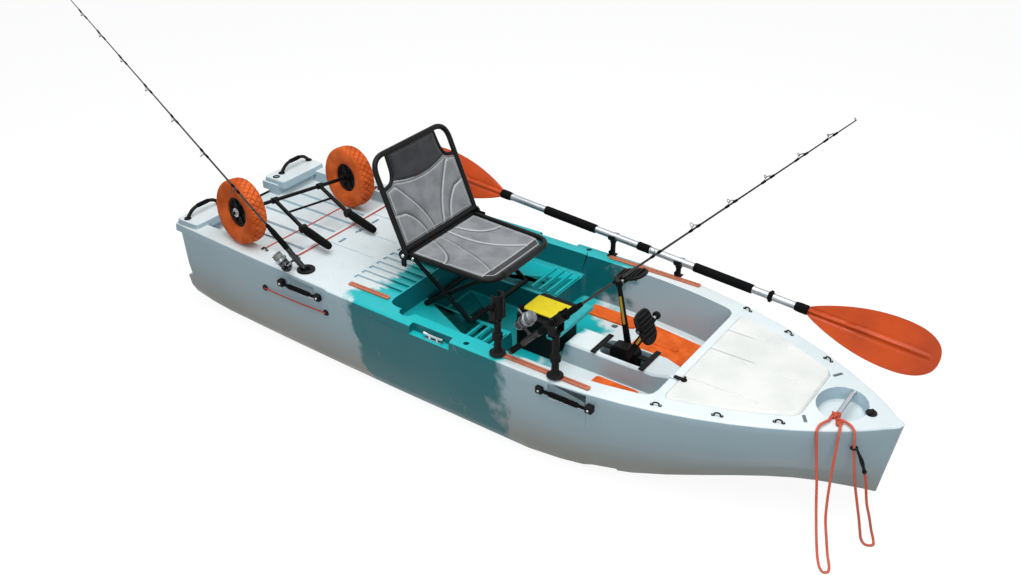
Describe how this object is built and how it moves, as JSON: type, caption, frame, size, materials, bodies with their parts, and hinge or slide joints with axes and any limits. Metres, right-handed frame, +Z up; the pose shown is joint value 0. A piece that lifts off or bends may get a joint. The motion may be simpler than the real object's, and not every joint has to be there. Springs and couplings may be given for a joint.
{
  "type": "fishing kayak",
  "caption": "Sit-on-top fishing kayak with framed folding seat, push-pedal fin drive, rod holders and rods, clipped paddle, gear box and a two-wheel trolley on the stern.",
  "frame": {"origin": "on the keel bottom, on the centre line, 1.50 m forward of the transom", "axes": "+X towards the bow, +Y to port, +Z up"},
  "size_m": [3.1943, 1.0994, 1.5502],
  "materials": {
    "hull_shell": "satin moulded polyethylene, teal band amidships",
    "lid": "satin moulded polyethylene, light grey",
    "black_plastic": "satin black moulded plastic",
    "chrome_fittings": "polished stainless",
    "black_tube": "satin black powder coat on aluminium tube",
    "rail_metal": "brushed aluminium",
    "drive_black": "satin glass-filled nylon",
    "seat_mesh": "coarse grey sling mesh",
    "tyre_orange": "orange balloon tyre, matte",
    "eva_orange": "orange foam, matte",
    "blade_orange": "orange-red blade, satin gloss",
    "lid_yellow": "yellow lid, satin",
    "rod_black": "gloss black blank and cork-free grip",
    "cord_red": "red kernmantle cord"
  },
  "bodies": {
    "hull_body": {"hull": "hull_shell", "bow_handle_bar": "chrome_fittings", "stern_handle_port": "black_plastic", "stern_handle_starboard": "black_plastic", "side_handle_aft_port": "black_plastic", "side_handle_aft_starboard": "black_plastic", "side_handle_fore_port": "black_plastic", "side_handle_fore_starboard": "black_plastic", "gear_track_aft_port": "rail_metal", "gear_track_aft_starboard": "rail_metal", "gear_track_fore_port": "rail_metal", "gear_track_fore_starboard": "rail_metal", "flush_holder_port": "black_plastic", "flush_holder_starboard": "black_plastic", "paddle_clip_aft": "black_plastic", "paddle_clip_fore": "black_plastic", "drive_spine": "drive_black", "console_box": "black_plastic", "floor_pad_fore_port": "eva_orange", "floor_pad_fore_starboard": "eva_orange", "floor_pad_aft_port": "eva_orange", "floor_pad_aft_starboard": "eva_orange", "inner_rail": "rail_metal", "bow_rope_left": "cord_red", "bow_rope_right": "cord_red", "snap_clip": "black_plastic"},
    "hatch": {"hatch_lid": "lid"},
    "latch": {"hatch_latch": "black_plastic"},
    "drain_plug": {"bow_plug": "black_plastic"},
    "box_lid": {"console_lid": "lid_yellow"},
    "seat": {"seat_pan_frame": "black_tube", "seat_pan_mesh": "seat_mesh"},
    "backrest": {"seat_back_frame": "black_tube", "seat_back_mesh": "seat_mesh"},
    "aft_leg": {"seat_leg_aft": "black_tube"},
    "fore_leg": {"seat_leg_fore": "black_tube"},
    "port_crank": {"pedal_arm_port": "drive_black"},
    "starboard_crank": {"pedal_arm_starboard": "drive_black"},
    "port_pedal": {"pedal_port": "black_plastic"},
    "starboard_pedal": {"pedal_starboard": "black_plastic"},
    "fore_fin": {"fin_fore": "black_plastic"},
    "aft_fin": {"fin_aft": "black_plastic"},
    "aft_holder": {"rod_holder_base_aft": "black_plastic"},
    "aft_cradle": {"rod_holder_cradle_aft": "black_plastic"},
    "fore_holder": {"rod_holder_base_fore": "black_plastic"},
    "fore_cradle": {"rod_holder_cradle_fore": "black_plastic"},
    "fore_fishing_rod": {"fore_rod": "rod_black"},
    "fore_spool": {"fore_reel_spool": "chrome_fittings"},
    "fore_crank": {"fore_reel_handle": "black_plastic"},
    "rear_fishing_rod": {"rear_rod": "rod_black"},
    "rear_spool": {"rear_reel_spool": "chrome_fittings"},
    "rear_crank": {"rear_reel_handle": "black_plastic"},
    "paddle": {"paddle_shaft": "black_tube", "paddle_blade_fore": "blade_orange", "paddle_blade_aft": "blade_orange"},
    "cart": {"cart_frame": "black_tube"},
    "port_wheel": {"cart_tyre_port": "tyre_orange", "cart_hub_port": "black_plastic"},
    "starboard_wheel": {"cart_tyre_starboard": "tyre_orange", "cart_hub_starboard": "black_plastic"}
  },
  "joints": [
    {"name": "hatch_hinge", "type": "hinge", "parent": "hull_body", "child": "hatch", "pos_m": [1.248, 0, 0.4], "axis": [0, 1, 0], "range_deg": [0, 100]},
    {"name": "latch_turn", "type": "hinge", "parent": "hatch", "child": "latch", "pos_m": [0.851, -0.193, 0.4073], "axis": [0, 0, 1], "range_deg": [0, 90]},
    {"name": "plug_lift", "type": "slide", "parent": "hull_body", "child": "drain_plug", "axis": [0, 0, 1], "range_m": [0, 0.06]},
    {"name": "box_lid_hinge", "type": "hinge", "parent": "hull_body", "child": "box_lid", "pos_m": [0.092, 0, 0.3523], "axis": [0, 1, 0], "range_deg": [-90, 0]},
    {"name": "seat_lift", "type": "slide", "parent": "hull_body", "child": "seat", "axis": [0, 0, 1], "range_m": [0, 0.35]},
    {"name": "backrest_fold", "type": "hinge", "parent": "seat", "child": "backrest", "pos_m": [-0.345, 0, 0.5523], "axis": [0, 1, 0], "range_deg": [-8, 100]},
    {"name": "aft_leg_fold", "type": "hinge", "parent": "seat", "child": "aft_leg", "pos_m": [-0.345, 0, 0.511], "axis": [0, 1, 0], "range_deg": [-28, 0]},
    {"name": "fore_leg_fold", "type": "hinge", "parent": "seat", "child": "fore_leg", "pos_m": [-0.02, 0, 0.50606], "axis": [0, 1, 0], "range_deg": [0, 28]},
    {"name": "port_crank_swing", "type": "hinge", "parent": "hull_body", "child": "port_crank", "pos_m": [0.52, 0, 0.235], "axis": [0, 1, 0], "range_deg": [0, 37.3]},
    {"name": "starboard_crank_swing", "type": "hinge", "parent": "hull_body", "child": "starboard_crank", "pos_m": [0.52, 0, 0.235], "axis": [0, 1, 0], "range_deg": [-37.3, 0]},
    {"name": "port_pedal_tilt", "type": "hinge", "parent": "port_crank", "child": "port_pedal", "pos_m": [0.45451, 0.122, 0.54312], "axis": [0, 1, 0], "range_deg": [-30, 30]},
    {"name": "starboard_pedal_tilt", "type": "hinge", "parent": "starboard_crank", "child": "starboard_pedal", "pos_m": [0.65462, -0.122, 0.51979], "axis": [0, 1, 0], "range_deg": [-30, 30]},
    {"name": "fore_fin_sweep", "type": "hinge", "parent": "hull_body", "child": "fore_fin", "pos_m": [0.602, 0, 0.016], "axis": [1, 0, 0], "range_deg": [-180, 0]},
    {"name": "aft_fin_sweep", "type": "hinge", "parent": "hull_body", "child": "aft_fin", "pos_m": [0.438, 0, 0.016], "axis": [1, 0, 0], "range_deg": [0, 180]},
    {"name": "aft_holder_swivel", "type": "hinge", "parent": "hull_body", "child": "aft_holder", "pos_m": [0.232, -0.42, 0.408], "axis": [0, 0, 1], "continuous": true},
    {"name": "aft_cradle_tilt", "type": "hinge", "parent": "aft_holder", "child": "aft_cradle", "pos_m": [0.232, -0.42, 0.608], "axis": [0, 1, 0], "range_deg": [-60, 60]},
    {"name": "fore_holder_swivel", "type": "hinge", "parent": "hull_body", "child": "fore_holder", "pos_m": [0.474, -0.42, 0.408], "axis": [0, 0, 1], "continuous": true},
    {"name": "fore_cradle_tilt", "type": "hinge", "parent": "fore_holder", "child": "fore_cradle", "pos_m": [0.474, -0.42, 0.64], "axis": [0, 1, 0], "range_deg": [-3, 2]},
    {"name": "fore_rod_draw", "type": "slide", "parent": "fore_cradle", "child": "fore_fishing_rod", "axis": [0.6896, 0, 0.7242], "range_m": [0, 0.3]},
    {"name": "fore_spool_turn", "type": "hinge", "parent": "fore_fishing_rod", "child": "fore_spool", "pos_m": [0.35137, -0.42, 0.58762], "axis": [0.6896, 0, 0.7242], "continuous": true},
    {"name": "fore_crank_turn", "type": "hinge", "parent": "fore_fishing_rod", "child": "fore_crank", "pos_m": [0.3324, -0.4027, 0.56771], "axis": [0, 1, 0], "continuous": true},
    {"name": "rear_rod_draw", "type": "slide", "parent": "hull_body", "child": "rear_fishing_rod", "axis": [-0.651, -0.165, 0.741], "range_m": [0, 0.25]},
    {"name": "rear_spool_turn", "type": "hinge", "parent": "rear_fishing_rod", "child": "rear_spool", "pos_m": [-0.79272, -0.45095, 0.46488], "axis": [-0.651, -0.165, 0.741], "continuous": true},
    {"name": "rear_crank_turn", "type": "hinge", "parent": "rear_fishing_rod", "child": "rear_crank", "pos_m": [-0.78782, -0.44641, 0.43308], "axis": [0.7513, 0, 0.66], "continuous": true},
    {"name": "paddle_lift", "type": "slide", "parent": "hull_body", "child": "paddle", "axis": [0, 0, 1], "range_m": [0, 0.3]},
    {"name": "cart_lift", "type": "slide", "parent": "hull_body", "child": "cart", "axis": [0, 0, 1], "range_m": [0, 0.4]},
    {"name": "port_wheel_turn", "type": "hinge", "parent": "cart", "child": "port_wheel", "pos_m": [-1.04595, 0.22996, 0.50357], "axis": [0.1388, 0.9877, -0.0716], "continuous": true},
    {"name": "starboard_wheel_turn", "type": "hinge", "parent": "cart", "child": "starboard_wheel", "pos_m": [-1.12605, -0.33996, 0.54487], "axis": [0.1388, 0.9877, -0.0716], "continuous": true}
  ],
  "couplings": [
    {"joint": "starboard_crank_swing", "follows": "port_crank_swing", "ratio": -1},
    {"joint": "fore_fin_sweep", "follows": "port_crank_swing", "ratio": -4.8257},
    {"joint": "aft_fin_sweep", "follows": "port_crank_swing", "ratio": 4.8257},
    {"joint": "aft_leg_fold", "follows": "seat_lift", "rad_per_m": -1.3963},
    {"joint": "fore_leg_fold", "follows": "seat_lift", "rad_per_m": 1.3963},
    {"joint": "fore_spool_turn", "follows": "fore_crank_turn", "ratio": 5},
    {"joint": "rear_spool_turn", "follows": "rear_crank_turn", "ratio": 5}
  ]
}
